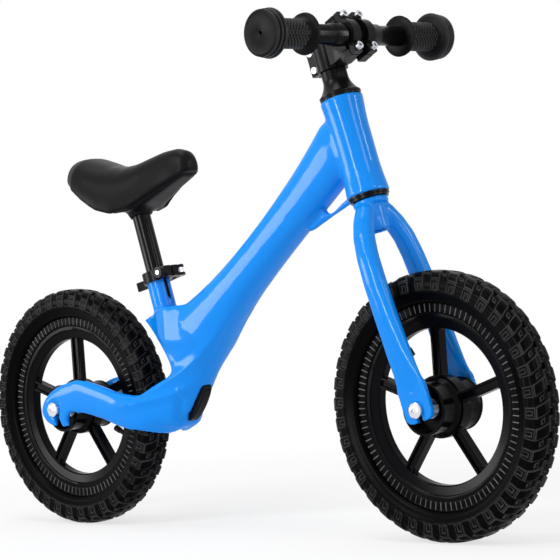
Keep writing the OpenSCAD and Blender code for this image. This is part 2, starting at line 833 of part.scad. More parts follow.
module axle_nut(z) {
    both_ends() translate([0, 0, z]) difference() {
        rotate_extrude() polygon(concat(
            [[0, 0], [nut_d / 2, 0], [nut_d / 2, 1.4]],
            [for (k = [15 : 15 : 75]) [nut_d / 2 * cos(k), 1.4 + (nut_h - 1.4) * sin(k)]],
            [[nut_d / 8, nut_h], [0, nut_h]]
        ));
        translate([0, 0, -1]) cylinder(d = axle_d + 2 * fit, h = nut_h - 1.5);
        translate([0, 0, nut_h - 2.2]) cylinder(d = 6, h = 4, $fn = 6);
    }
}

module spacer() {
    both_ends() translate([0, 0, bearing_z + bearing_w + fit])
        tube(axle_d + 4, axle_d + 2 * fit, hub_in - bearing_z - bearing_w - 2 * fit);
}

fork_face = hub_in + plate_t;
rear_face = stay_out - 1;

module front_axle() {
    color("silver") on_axle(front_axle_p) axle_rod(2 * (fork_face + washer_t + nut_h - 3.5));
}

module front_axle_washers() {
    color("silver") on_axle(front_axle_p) washer(fork_face + fit);
}

module front_axle_nuts() {
    color("lightgray") on_axle(front_axle_p) axle_nut(fork_face + washer_t + 2 * fit);
}

module front_axle_spacers() {
    color("gray") on_axle(front_axle_p) spacer();
}

module rear_axle() {
    color("silver") on_axle(rear_axle_p) axle_rod(2 * (rear_face + washer_t + nut_h - 3.5));
}

module rear_axle_washers() {
    color("silver") on_axle(rear_axle_p) washer(rear_face + fit);
}

module rear_axle_nuts() {
    color("lightgray") on_axle(rear_axle_p) axle_nut(rear_face + washer_t + 2 * fit);
}

module rear_axle_spacers() {
    color("gray") on_axle(rear_axle_p) spacer();
}

// ---- wheels, in the local frame of their axle ----

bearing_z = 13;
cup_depth = cup_w / 2 - bearing_z - bearing_w;
web_h = 6;
spoke_h = 11;
rib_w = 2.6;
rim_h = 18;

function arc(c, r, a0, a1, n) = [for (i = [0 : n]) let (a = lerp(a0, a1, i / n)) c + r * [cos(a), sin(a)]];

// outline of the opening between the spokes at 0 and at the next spoke's angle
module window(ri, ro, rc) {
    step = 360 / spoke_n;
    a1 = asin((spoke_w / 2 + rc) / (ro - rc));
    a2 = asin((spoke_w / 2 + rc) / (ri + rc));
    polygon(concat(
        arc((ro - rc) * [cos(a1), sin(a1)], rc, -90, a1, 5),
        arc([0, 0], ro, a1 + 4, step - a1 - 4, 8),
        arc((ro - rc) * [cos(step - a1), sin(step - a1)], rc, step - a1, step + 90, 5),
        arc((ri + rc) * [cos(step - a2), sin(step - a2)], rc, step + 90, step + 180 - a2, 4),
        arc((ri + rc) * [cos(a2), sin(a2)], rc, 180 + a2, 270, 4)
    ));
}

module rim_form() {
    difference() {
        union() {
            // rim ring with the seat of the tyre
            rotate_extrude() polygon([
                [window_r, -4.6], [window_r, 4.6], [window_r + 1.5, 6.4], [bead_r - 5, 7.4],
                [bead_r - 4, rim_h / 2], [bead_r - fit, rim_h / 2],
                [bead_r - fit, -rim_h / 2], [bead_r - 4, -rim_h / 2],
                [bead_r - 5, -7.4], [window_r + 1.5, -6.4]
            ]);
            difference() {
                translate([0, 0, -web_h / 2]) cylinder(r = window_r + 0.5, h = web_h);
                for (i = [0 : spoke_n - 1])
                    rotate([0, 0, 90 + i * 360 / spoke_n]) translate([0, 0, -20]) linear_extrude(40)
                        window(cup_r + 4.4, window_r + 0.7, 4);
            }
            // paired ribs along each spoke
            for (i = [0 : spoke_n - 1])
                for (y = [rib_w / 2 - spoke_w / 2, spoke_w / 2 - rib_w / 2])
                    rotate([0, 0, 90 + i * 360 / spoke_n]) translate([cup_r, y - rib_w / 2, -spoke_h / 2])
                        cube([window_r - cup_r + 4, rib_w, spoke_h]);
            // hub with a cup at each end
            translate([0, 0, -7]) cylinder(r = cup_r + 5, h = 14);
            both_ends() rotate_extrude() polygon([
                [0, 0], [cup_r + 3, 0], [cup_r + 3, 10], [cup_r - 1, 14], [cup_r - 1, cup_w / 2 - 3],
                [cup_r, cup_w / 2 - 2.4], [cup_r, cup_w / 2 - 0.8], [cup_r - 0.8, cup_w / 2], [0, cup_w / 2]
            ]);
        }
        both_ends() translate([0, 0, bearing_z + bearing_w]) cylinder(r = cup_r - 3, h = cup_depth + 1);
        both_ends() translate([0, 0, bearing_z]) cylinder(d = bearing_d + 2 * fit, h = bearing_w + 1);
        translate([0, 0, -20]) cylinder(d = axle_d + 8, h = 40);
    }
}

module tread_row(z0, z1, turn) {
    rotate([0, 0, turn]) translate([0, 0, z0]) linear_extrude(z1 - z0) polygon([
        for (i = [0 : tread_n - 1])
            for (p = [[0, -0.5], [1, -0.42], [1, 0.12], [0, 0.2]])
                let (a = 360 / tread_n * (i + p[1]), r = p[0] == 1 ? tyre_r + 4 : tyre_r - tread_h - 3)
                r * [cos(a), sin(a)]
    ]);
}

module tyre_form() {
    base = tyre_r - tread_h;
    hw = tyre_w / 2;
    union() {
        rotate_extrude() polygon([
            [bead_r, -9], [bead_r, 9], [bead_r + 1, 10], [bead_r + 12, 10.4], [bead_r + 13.5, 13],
            [bead_r + 16, hw - 4.2], [bead_r + 20, hw - 1.4], [bead_r + 26, hw], [base - 9, hw - 0.6],
            [base - 3.4, hw - 3], [base, hw - 7],
            [base, 7 - hw], [base - 3.4, 3 - hw], [base - 9, 0.6 - hw],
            [bead_r + 26, -hw], [bead_r + 20, 1.4 - hw], [bead_r + 16, 4.2 - hw],
            [bead_r + 13.5, -13], [bead_r + 12, -10.4], [bead_r + 1, -10]
        ]);
        intersection() {
            rotate_extrude() polygon([
                [base - 7, -hw + 0.9], [base - 7, hw - 0.9], [tyre_r - 5.5, hw - 1], [tyre_r - 1.6, hw - 4.6],
                [tyre_r, hw - 8.5], [tyre_r, 8.5 - hw], [tyre_r - 1.6, 4.6 - hw], [tyre_r - 5.5, 1 - hw]
            ]);
            union() {
                tread_row(6, hw, 90);
                tread_row(-4.6, 4.6, 90 + 180 / tread_n);
                tread_row(-hw, -6, 90);
            }
        }
    }
}

module bearings_form() {
    both_ends() translate([0, 0, bearing_z]) tube(bearing_d, axle_d + 2 * fit, bearing_w);
}

module valve_form(angle) {
    rotate([0, 0, angle]) translate([window_r - 14, 0, 0]) rotate([0, 90, 0]) {
        cylinder(d = 6, h = 14);
        translate([0, 0, -4]) cylinder(d = 7.4, h = 8);
    }
}

module front_rim() {
    color("#141416") on_axle(front_axle_p) rim_form();
}

module front_tyre() {
    color("#242426") on_axle(front_axle_p) tyre_form();
}

module front_bearings() {
    color("silver") on_axle(front_axle_p) bearings_form();
}

module front_valve() {
    color("#141416") on_axle(front_axle_p) valve_form(124.5);
}

module rear_rim() {
    color("#141416") on_axle(rear_axle_p) rim_form();
}

module rear_tyre() {
    color("#242426") on_axle(rear_axle_p) tyre_form();
}

module rear_bearings() {
    color("silver") on_axle(rear_axle_p) bearings_form();
}

module rear_valve() {
    color("#141416") on_axle(rear_axle_p) valve_form(-24);
}

frame();
bottom_cover();
headset_upper_cup();
headset_lower_cup();
headset_upper_bearing();
headset_lower_bearing();
seat_clamp();
clamp_skewer();
clamp_nut();
clamp_lever();
lever_pin();
rear_axle();
rear_axle_washers();
rear_axle_nuts();
rear_axle_spacers();
seat_post();
saddle_shell();
saddle_pad();
fork();
crown_race();
headset_cover();
stem();
stem_cap();
stem_cap_bolt();
stem_pinch_bolts();
clamp_band_left();
clamp_band_right();
clamp_band_bolts();
handlebar();
grip_left();
grip_right();
front_axle();
front_axle_washers();
front_axle_nuts();
front_axle_spacers();
front_rim();
front_tyre();
front_bearings();
front_valve();
rear_rim();
rear_tyre();
rear_bearings();
rear_valve();
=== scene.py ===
# %% [markdown]
# # A balance bike, finished in Blender
#
# The construction comes from CAD and is already at its real size, in metres, with the ground at
# z = 0 and X pointing forward. Here every surface gets its finish, and the pieces that need
# softer or finer forms than CAD gives them are made again in the same place.

# %% Load the bike
import json
import math
import bmesh
import bpy
from mathutils import Matrix, Vector


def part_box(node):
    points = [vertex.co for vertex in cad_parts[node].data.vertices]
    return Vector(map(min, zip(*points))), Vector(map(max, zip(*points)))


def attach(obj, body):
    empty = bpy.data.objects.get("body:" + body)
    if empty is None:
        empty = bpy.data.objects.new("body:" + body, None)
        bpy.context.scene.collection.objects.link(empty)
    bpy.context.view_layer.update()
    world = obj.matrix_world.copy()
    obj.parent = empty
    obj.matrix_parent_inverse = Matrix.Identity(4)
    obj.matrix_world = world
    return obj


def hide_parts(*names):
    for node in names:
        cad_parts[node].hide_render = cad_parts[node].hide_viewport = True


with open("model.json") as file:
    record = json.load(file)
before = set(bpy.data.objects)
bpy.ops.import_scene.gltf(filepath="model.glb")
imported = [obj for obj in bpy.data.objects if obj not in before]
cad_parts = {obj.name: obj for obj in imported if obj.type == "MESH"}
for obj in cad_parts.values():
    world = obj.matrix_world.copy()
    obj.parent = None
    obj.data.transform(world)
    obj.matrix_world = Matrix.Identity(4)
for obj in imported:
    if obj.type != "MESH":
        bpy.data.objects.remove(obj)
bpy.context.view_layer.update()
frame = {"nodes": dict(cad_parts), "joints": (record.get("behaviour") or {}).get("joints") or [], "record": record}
for plain in list(bpy.data.materials):
    bpy.data.materials.remove(plain)
scene = bpy.context.scene
nodes = frame["nodes"]
MM = 0.001

# %% [markdown]
# ## Materials
#
# No real surface is one flat colour. Paint has a faint orange peel, moulded plastic a fine
# grain, and foam rubber a dull, cloudy tone. The raised edges of rubber get a painted highlight:
# a paler grey laid on a mask of edges, in patches. One node group makes all of these from two
# noise textures and that mask of edges, and each material gives it its own colour, grain size and
# depth. A group keeps the recipe in one place, and every material stays easy to tune.

# %% The shared surface group
def surface_group():
    group = bpy.data.node_groups.new("fine_surface", "ShaderNodeTree")
    face = group.interface
    for label in ("Base", "Highlight"):
        face.new_socket(label, in_out="INPUT", socket_type="NodeSocketColor")
    for label, value in (("Grain", 900.0), ("Depth", 0.2), ("Rough", 0.4), ("Spread", 0.1),
                         ("Cloud", 0.1), ("Edge", 0.0)):
        face.new_socket(label, in_out="INPUT", socket_type="NodeSocketFloat").default_value = value
    face.new_socket("Colour", in_out="OUTPUT", socket_type="NodeSocketColor")
    face.new_socket("Roughness", in_out="OUTPUT", socket_type="NodeSocketFloat")
    face.new_socket("Normal", in_out="OUTPUT", socket_type="NodeSocketVector")
    n, link = group.nodes, group.links.new
    given, out = n.new("NodeGroupInput"), n.new("NodeGroupOutput")
    where = n.new("ShaderNodeTexCoord")
    grain, cloud = n.new("ShaderNodeTexNoise"), n.new("ShaderNodeTexNoise")
    grain.inputs["Detail"].default_value = 3
    cloud.inputs["Scale"].default_value = 22
    cloud.inputs["Detail"].default_value = 4
    link(where.outputs["Object"], grain.inputs["Vector"])
    link(where.outputs["Object"], cloud.inputs["Vector"])
    link(given.outputs["Grain"], grain.inputs["Scale"])
    # colour: the base, darkened a little where the cloud is thick
    dark = n.new("ShaderNodeMix")
    dark.data_type = "RGBA"
    dark.blend_type = "MULTIPLY"
    link(given.outputs["Cloud"], dark.inputs["Factor"])
    link(given.outputs["Base"], dark.inputs["A"])
    link(cloud.outputs["Fac"], dark.inputs["B"])
    # painted highlight: the edges made paler, in patches
    patchy = n.new("ShaderNodeMapRange")
    patchy.inputs["From Min"].default_value = 0.25
    patchy.inputs["From Max"].default_value = 0.6
    patchy.inputs["To Min"].default_value = 0.35
    link(cloud.outputs["Fac"], patchy.inputs["Value"])
    highlight_share = n.new("ShaderNodeMath")
    highlight_share.operation = "MULTIPLY"
    link(given.outputs["Edge"], highlight_share.inputs[0])
    link(patchy.outputs["Result"], highlight_share.inputs[1])
    pale = n.new("ShaderNodeMix")
    pale.data_type = "RGBA"
    link(highlight_share.outputs[0], pale.inputs["Factor"])
    link(dark.outputs["Result"], pale.inputs["A"])
    link(given.outputs["Highlight"], pale.inputs["B"])
    link(pale.outputs["Result"], out.inputs["Colour"])
    # roughness: the middle value, plus or minus the spread
    sway = n.new("ShaderNodeMath")
    sway.operation = "MULTIPLY_ADD"
    centre = n.new("ShaderNodeMath")
    centre.operation = "SUBTRACT"
    link(cloud.outputs["Fac"], centre.inputs[0])
    centre.inputs[1].default_value = 0.5
    link(centre.outputs[0], sway.inputs[0])
    link(given.outputs["Spread"], sway.inputs[1])
    link(given.outputs["Rough"], sway.inputs[2])
    link(sway.outputs[0], out.inputs["Roughness"])
    bump = n.new("ShaderNodeBump")
    bump.inputs["Distance"].default_value = 0.2 * MM
    link(given.outputs["Depth"], bump.inputs["Strength"])
    link(grain.outputs["Fac"], bump.inputs["Height"])
    link(bump.outputs["Normal"], out.inputs["Normal"])
    return group


SURFACE = surface_group()
COAT_ROUGHNESS = 0.07


def finish(name, colour, grain, depth, rough, spread, cloud, metal=0.0, coat=0.0, gloss=0.5,
           edge_highlight=None):
    """A material on the shared surface group, with the shader's own values set directly.

    grain is the scale of the fine noise and depth the strength of its bump. rough is the middle
    roughness and spread how far it varies. cloud is how much the colour darkens in patches. gloss
    is the specular level, and edge_highlight the paler colour painted on edges as a highlight, if the material has
    it.
    """
    made = bpy.data.materials.new(name)
    made.use_nodes = True
    tree = made.node_tree
    shader = tree.nodes["Principled BSDF"]
    surface = tree.nodes.new("ShaderNodeGroup")
    surface.node_tree = SURFACE
    surface.inputs["Base"].default_value = (*colour, 1)
    for label, value in (("Grain", grain), ("Depth", depth), ("Rough", rough), ("Spread", spread),
                         ("Cloud", cloud)):
        surface.inputs[label].default_value = value
    link = tree.links.new
    # painted highlight: the edge attribute lays a paler colour on the edges
    if edge_highlight:
        surface.inputs["Highlight"].default_value = (*edge_highlight, 1)
        edge = tree.nodes.new("ShaderNodeAttribute")
        edge.attribute_name = "edge"
        link(edge.outputs["Fac"], surface.inputs["Edge"])
    link(surface.outputs["Colour"], shader.inputs["Base Color"])
    link(surface.outputs["Roughness"], shader.inputs["Roughness"])
    link(surface.outputs["Normal"], shader.inputs["Normal"])
    shader.inputs["Metallic"].default_value = metal
    shader.inputs["Specular IOR Level"].default_value = gloss
    shader.inputs["Coat Weight"].default_value = coat
    shader.inputs["Coat Roughness"].default_value = COAT_ROUGHNESS
    return made


# %% [markdown]
# The paint is a bright azure under a clear coat: the coat gives the long sharp highlights, the
# colour under it stays deep. The blacks differ mostly in how they reflect: moulded wheels shine
# a little, foam tyres hardly at all, and the anodised stem lies between. In a white room a black
# surface shows that white too, so the blacks reflect little of it and stay deep.

# %% All the finishes
# painted highlight: the paler grey laid on the raised edges of tyres and grips
EDGE_HIGHLIGHT_GREY = (0.26, 0.26, 0.27)
FINISH = {made.name: made for made in (
    finish("blue_paint", (0.002, 0.275, 0.93), 420, 0.05, 0.30, 0.06, 0.06, coat=0.28, gloss=0.03),
    finish("wheel_plastic", (0.002, 0.002, 0.003), 1400, 0.15, 0.20, 0.10, 0.2, gloss=0.05),
    finish("dark_plastic", (0.006, 0.006, 0.008), 1800, 0.4, 0.38, 0.12, 0.2, gloss=0.07),
    finish("black_alloy", (0.005, 0.005, 0.006), 2400, 0.15, 0.26, 0.10, 0.2, gloss=0.08),
    finish("black_steel", (0.003, 0.003, 0.0035), 1500, 0.12, 0.20, 0.08, 0.2, coat=0.02,
           gloss=0.08),
    finish("zinc_steel", (0.62, 0.64, 0.67), 1600, 0.15, 0.30, 0.14, 0.25, metal=1.0),
    finish("chrome_nut", (0.80, 0.81, 0.84), 700, 0.10, 0.14, 0.08, 0.15, metal=1.0),
    finish("bearing_steel", (0.50, 0.51, 0.53), 1600, 0.12, 0.25, 0.10, 0.2, metal=1.0),
    finish("tyre_rubber", (0.0015, 0.0015, 0.002), 1900, 0.25, 0.27, 0.12, 0.3, gloss=0.025,
           edge_highlight=EDGE_HIGHLIGHT_GREY),
    finish("grip_rubber", (0.004, 0.004, 0.0045), 2200, 0.5, 0.36, 0.12, 0.25, gloss=0.06,
           edge_highlight=EDGE_HIGHLIGHT_GREY),
    finish("saddle_cover", (0.005, 0.005, 0.0055), 2600, 0.4, 0.36, 0.08, 0.2, gloss=0.07),
)}
for row in frame["record"]["subparts"]:
    piece = nodes[row["node"]]
    piece.data.materials.clear()
    piece.data.materials.append(FINISH[row["material_slot"]])
SLOT = {row["node"]: row["material_slot"] for row in frame["record"]["subparts"]}
BODY = {n: body for body, names in frame["record"]["behaviour"]["bodies"].items() for n in names}
print("finishes:", sorted(FINISH))

# %% [markdown]
# ## Cast forms: frame and fork
#
# A casting has no sharp inside corners: molten metal needs fillets, and the paint rounds what is
# left. The CAD solids meet in sharp lines, so a copy of each is merged, turned into an even skin
# by a voxel remesh, and relaxed. The relaxing is local: strong where a stay runs into the body and
# at the belly, weaker elsewhere, and nil in the slots and bores that other pieces sit in.

# %% Helpers to remake a CAD node
def merged_copy(node):
    """A new bmesh of a CAD node's surface, its loose triangles joined."""
    shape = bmesh.new()
    shape.from_mesh(nodes[node].data)
    bmesh.ops.remove_doubles(shape, verts=shape.verts, dist=0.005 * MM)
    return shape


def to_piece(shape, name, node):
    """Turns a bmesh into a piece that stands for a CAD node and rides on its body."""
    mesh = bpy.data.meshes.new(name)
    shape.to_mesh(mesh)
    shape.free()
    piece = bpy.data.objects.new(name, mesh)
    scene.collection.objects.link(piece)
    mesh.materials.append(FINISH[SLOT[node]])
    for face in mesh.polygons:
        face.use_smooth = True
    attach(piece, BODY[node])
    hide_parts(node)
    return piece


def skinned(shape, voxel):
    """An even quad skin over a closed shape, by a voxel remesh."""
    mesh = bpy.data.meshes.new("skin")
    shape.to_mesh(mesh)
    shape.free()
    holder = bpy.data.objects.new("skin", mesh)
    scene.collection.objects.link(holder)
    remesh = holder.modifiers.new("skin", "REMESH")
    remesh.mode = "VOXEL"
    remesh.voxel_size = voxel
    even = bmesh.new()
    even.from_object(holder, bpy.context.evaluated_depsgraph_get())
    bpy.data.objects.remove(holder)
    bpy.data.meshes.remove(mesh)
    return even


def relax(shape, rounds, chosen):
    """Smooths the vertices that chosen(co) picks."""
    picked = [v for v in shape.verts if chosen(v.co)]
    for _ in range(rounds):
        bmesh.ops.smooth_vert(shape, verts=picked, factor=0.5, use_axis_x=True, use_axis_y=True,
                              use_axis_z=True)
    return len(picked)


def axis_of(joint):
    row = next(j for j in frame["joints"] if j["name"] == joint)
    return Vector(row.get("pos_m") or (0, 0, 0)), Vector(row["axis"]).normalized()


# %% Zones of the frame's casting
steer_point, steer_up = axis_of("steering_turn")
_, post_up = axis_of("seat_height")
rear_axle, _ = axis_of("rear_wheel_spin")
front_axle, _ = axis_of("front_wheel_spin")
clamp_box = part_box("seat_clamp")
post_point = sum(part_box("seat_post"), Vector()) / 2


def off_axis(co, point, axis):
    """Distance of a point from an axis, and its place along it."""
    along = (co - point).dot(axis)
    return (co - point - along * axis).length, along


def on_casting(co):
    """Everything but the bores, the slots and the seats of other pieces."""
    away, along = off_axis(co, steer_point, steer_up)
    if away < 18.5 * MM or away < 25.5 * MM and abs(along) > 50 * MM:
        return False
    if Vector((co.x - rear_axle.x, co.z - rear_axle.z)).length < 13 * MM:
        return False
    above_slot = co.z > clamp_box[0].z - 26 * MM
    return not (above_slot and co.x < clamp_box[1].x + 4 * MM and co.x < 0)


def round_seat_tube(co):
    """The outside of the seat tube's top, with the edges of its clamping slot."""
    away, _ = off_axis(co, post_point, post_up)
    return not on_casting(co) and co.x < 0 and co.z > 220 * MM and away > 12.2 * MM


def near_stay_root(co):
    """Where a stay leaves the body."""
    return -160 * MM < co.x < -90 * MM and co.z < 200 * MM and abs(co.y) > 14 * MM


def near_belly(co):
    """The low front end of the body, below the bottom cover."""
    return -125 * MM < co.x < -85 * MM and co.z < 140 * MM and abs(co.y) < 18 * MM


def on_head_tube(co):
    """The outside of the head tube between its two end faces."""
    away, along = off_axis(co, steer_point, steer_up)
    return away > 20 * MM and abs(along) < 52 * MM and co.x > 100 * MM


# %% [markdown]
# Four swellings of the casting are thick fillets more than pieces: the shoulder that wraps the
# foot of the seat tube, the flare where each stay leaves the body, the belly between the two
# flares, and the cheeks on both sides of the bottom cover. Each is the hull of a few points,
# added to the solid before it gets its even skin, so that everything becomes one. The seat
# tube's bore stays free of them.

# %% Shoulder, flares, belly and cheeks of the casting
SKIN_CELL = 1.55 * MM
HOOD_BACK = ((-155, 2, 250), (-150, 2, 244), (-126, 20, 262), (-118, 23, 264), (-118, 24, 228),
             (-132, 15, 230))
SHOULDER = ((-118, 12, 264), (-118, 23, 264), (-104, 28, 266), (-78, 26, 264), (-64, 23, 268),
            (-104, 12, 266), (-70, 12, 266), (-118, 24, 228), (-104, 29, 220), (-66, 29, 222),
            (-118, 12, 228), (-70, 12, 222))
FLARE = ((-144, 43, 160), (-144, 43, 130), (-144, 25, 166), (-144, 25, 122), (-114, 23, 178),
         (-114, 12, 180), (-96, 25, 188), (-94, 26, 170), (-96, 27, 146), (-102, 22, 124),
         (-100, 9, 122), (-94, 12, 176), (-114, 9, 118))
CHEEK = ((-96, 7.5, 128), (-96, 13, 130), (-64, 7.5, 172), (-66, 12, 172), (-76, 16, 190),
         (-76, 7.5, 190), (-82, 18, 158), (-112, 16, 142), (-112, 7.5, 142), (-106, 16, 126))
BELLY = ((-112, 18, 119), (-100, 20, 123), (-95, 14, 128), (-95, 8, 134), (-112, 18, 140),
         (-98, 18, 140))


def add_hull(shape, points, sides):
    """Adds the hull of points given in mm; sides says on which sides of the middle they lie."""
    corners = [shape.verts.new((x * MM, side * y * MM, z * MM))
               for x, y, z in points for side in sides]
    made = bmesh.ops.convex_hull(shape, input=corners)
    spare = [g for g in made["geom_interior"] if isinstance(g, bmesh.types.BMVert)]
    bmesh.ops.delete(shape, geom=spare, context="VERTS")


body = merged_copy("frame")
# the clamping slot is opened a little, so that the skin's cells don't close it
SLOT_HALF, OPENED_HALF = 1.2 * MM, 2.0 * MM
for v in body.verts:
    on_slot = abs(abs(v.co.y) - SLOT_HALF) < 0.05 * MM
    if on_slot and off_axis(v.co, post_point, post_up)[0] < 17 * MM:
        v.co.y = math.copysign(OPENED_HALF, v.co.y)
add_hull(body, HOOD_BACK, (1, -1))
add_hull(body, BELLY, (1, -1))
for side in (1, -1):
    add_hull(body, SHOULDER, (side,))
    add_hull(body, FLARE, (side,))
    add_hull(body, CHEEK, (side,))
casting = skinned(body, SKIN_CELL)
print("casting skin:", len(casting.verts), "vertices")
relax(casting, 10, on_casting)
relax(casting, 7, round_seat_tube)
relax(casting, 60, near_belly)
relax(casting, 16, on_head_tube)
print("relaxed at the stays:", relax(casting, 45, near_stay_root))

# %% [markdown]
# Long soft creases run from the stays up the side of the beam. They are drawn out of the finished
# skin: every point near a crease moves outwards, most on the line itself.

# %% Creases
BODY_CREASE = ((-150, 165), (-110, 175), (-80, 188), (-50, 206), (-25, 228), (0, 248), (30, 266),
               (50, 280))
STAY_CREASE = ((-190, 150), (-155, 152), (-115, 158), (-90, 165), (-70, 175))


def line_gap(x, z, line):
    """Distance in the side view from a line of (x, z) points, and how far along it that is."""
    best = (1.0, 0.0)
    for k, ((x0, z0), (x1, z1)) in enumerate(zip(line, line[1:])):
        dx, dz = x1 - x0, z1 - z0
        t = min(max(((x - x0) * dx + (z - z0) * dz) / (dx * dx + dz * dz), 0.0), 1.0)
        gap = math.hypot(x - x0 - t * dx, z - z0 - t * dz)
        best = min(best, (gap, (k + t) / (len(line) - 1)))
    return best


def raise_crease(shape, points, width, rise):
    """Lifts a soft ridge out of both sides of the casting, fading at the ends of the line."""
    line = [(x * MM, z * MM) for x, z in points]
    count = 0
    for v in shape.verts:
        if abs(v.co.y) > 12 * MM:
            gap, along = line_gap(v.co.x, v.co.z, line)
            if gap < width:
                ends = min(along, 1 - along, 0.2) / 0.2
                v.co.y += math.copysign(rise * ends * (1 - gap / width) ** 1.6, v.co.y)
                count += 1
    print("crease moved", count)


raise_crease(casting, BODY_CREASE, 13 * MM, 4.0 * MM)
raise_crease(casting, STAY_CREASE, 12 * MM, 3.4 * MM)
relax(casting, 2, on_casting)
to_piece(casting, "cast_frame", "frame")

# %% The fork
def on_fork(co):
    away, _ = off_axis(co, steer_point, steer_up)
    if away < 14.5 * MM and co.z > steer_point.z - 70 * MM:
        return False
    return co.z > front_axle.z + 34 * MM


fork = skinned(merged_copy("fork"), 1.3 * MM)
print("fork skin:", len(fork.verts), "vertices")
relax(fork, 12, on_fork)
to_piece(fork, "painted_fork", "fork")

# %% [markdown]
# ## Tyres
#
# The tyres are moulded foam: a band of fine radial ribs next to the rim, a rolled ridge, a plain
# bulging side, and a knobbly crown. Each block of the crown is a slanted bar that steps sideways
# near the middle and ends at the side in a square lug with a pocket in it. One profile is spun
# round the axle in many small steps, and the hollows of the tread are then pushed into that skin.
# Spinning first keeps the mesh regular, and a whole number of steps in each block and in each rib
# keeps them all alike.

# %% Profile of a tyre
TREAD_BLOCKS = 38
STEPS_PER_BLOCK = 20
STEPS_PER_RIB = 8
TREAD_DEPTH = 2.7 * MM
RIB_RISE = 0.9 * MM
# painted highlight: how pale the edges of the crown blocks are made
CROWN_HIGHLIGHT = 0.22
CROWN_POINTS = 38
CROWN_POWER = 3.4
TREAD_END = 36
RIB_BAND = (2.2 * MM, 11 * MM)
# distance from the bead and place across, in mm, on a tyre 40 mm wide: rib band, ridge, side
SIDE = ((0, 9), (1, 10), (1.8, 10.1), (2.4, 10.2), (6.5, 10.2), (10.6, 10.2), (11.4, 10.3),
        (12.0, 12.2), (13.2, 14.4), (15, 15.8), (17, 16.4), (19, 17.1), (21.5, 18.4), (24, 19.4))


def smooth_step(low, high, value):
    t = min(max((value - low) / (high - low), 0.0), 1.0)
    return t * t * (3 - 2 * t)


def even_steps(line, step):
    """The same line with points an even distance apart."""
    lengths = [0.0]
    for (r0, y0), (r1, y1) in zip(line, line[1:]):
        lengths.append(lengths[-1] + math.hypot(r1 - r0, y1 - y0))
    count = round(lengths[-1] / step)
    spaced = []
    for k in range(count + 1):
        want = lengths[-1] * k / count
        i = max(j for j in range(len(line) - 1) if lengths[j] <= want + 1e-12)
        t = (want - lengths[i]) / (lengths[i + 1] - lengths[i])
        spaced.append(tuple(a + (b - a) * t for a, b in zip(line[i], line[i + 1])))
    return spaced


def tyre_profile(radius, half, bead):
    """One closed outline: (distance from the axle, place across the tyre)."""
    side = [(bead + r * MM, half * y / 20) for r, y in SIDE]
    widest = bead + 26.5 * MM
    crown = []
    for k in range(CROWN_POINTS + 1):
        t = math.pi / 2 * (1 - k / CROWN_POINTS)
        crown.append((widest + (radius - widest) * math.cos(t) ** (2 / CROWN_POWER),
                      half * math.sin(t) ** (2 / CROWN_POWER)))
    crown[-1] = (radius, 0)
    upper = side + even_steps(crown, 1.05 * MM)
    return upper + [(r, -y) for r, y in reversed(upper[:-1])]


# %% Pattern of the tread
def tread(u, s, pitch):
    """Height and edge of the tread, both from 0 to 1, at u of a block and s mm from the middle.

    s is measured along the tyre's skin. Below 5 mm lies the centre block, then the slanted bar
    with a low pip between two bars, and beyond 22 mm the lug with its pocket.
    """
    def beyond(centre, half_width, start, end):
        around = abs((u - centre + 0.5) % 1.0 - 0.5) * pitch - half_width * pitch
        return max(around, start - s, s - end)

    slant = 0.25 - 0.30 * (22 - s) / 16
    block = min(beyond(0.25, 0.26, 22.6, 34), beyond(slant, 0.27, 4.5, 21.6),
                beyond(-0.28, 0.33, -9, 5))
    pip = beyond(slant + 0.5, 0.11, 11, 16)
    pocket = beyond(0.25, 0.11, 26.5, 40)
    height = max(1 - smooth_step(-0.2, 1.0, block), 0.6 * (1 - smooth_step(-0.2, 1.0, pip)))
    if block < 0:
        height -= 0.75 * (1 - smooth_step(-0.2, 1.0, pocket))
    outlines = (block, pip, pocket) if block < 0 else (block, pip)
    # the edge mask, which carries the painted highlight on the tread
    edge = max(1 - smooth_step(0.1, 1.0, abs(gap + 0.3)) for gap in outlines)
    return height, edge


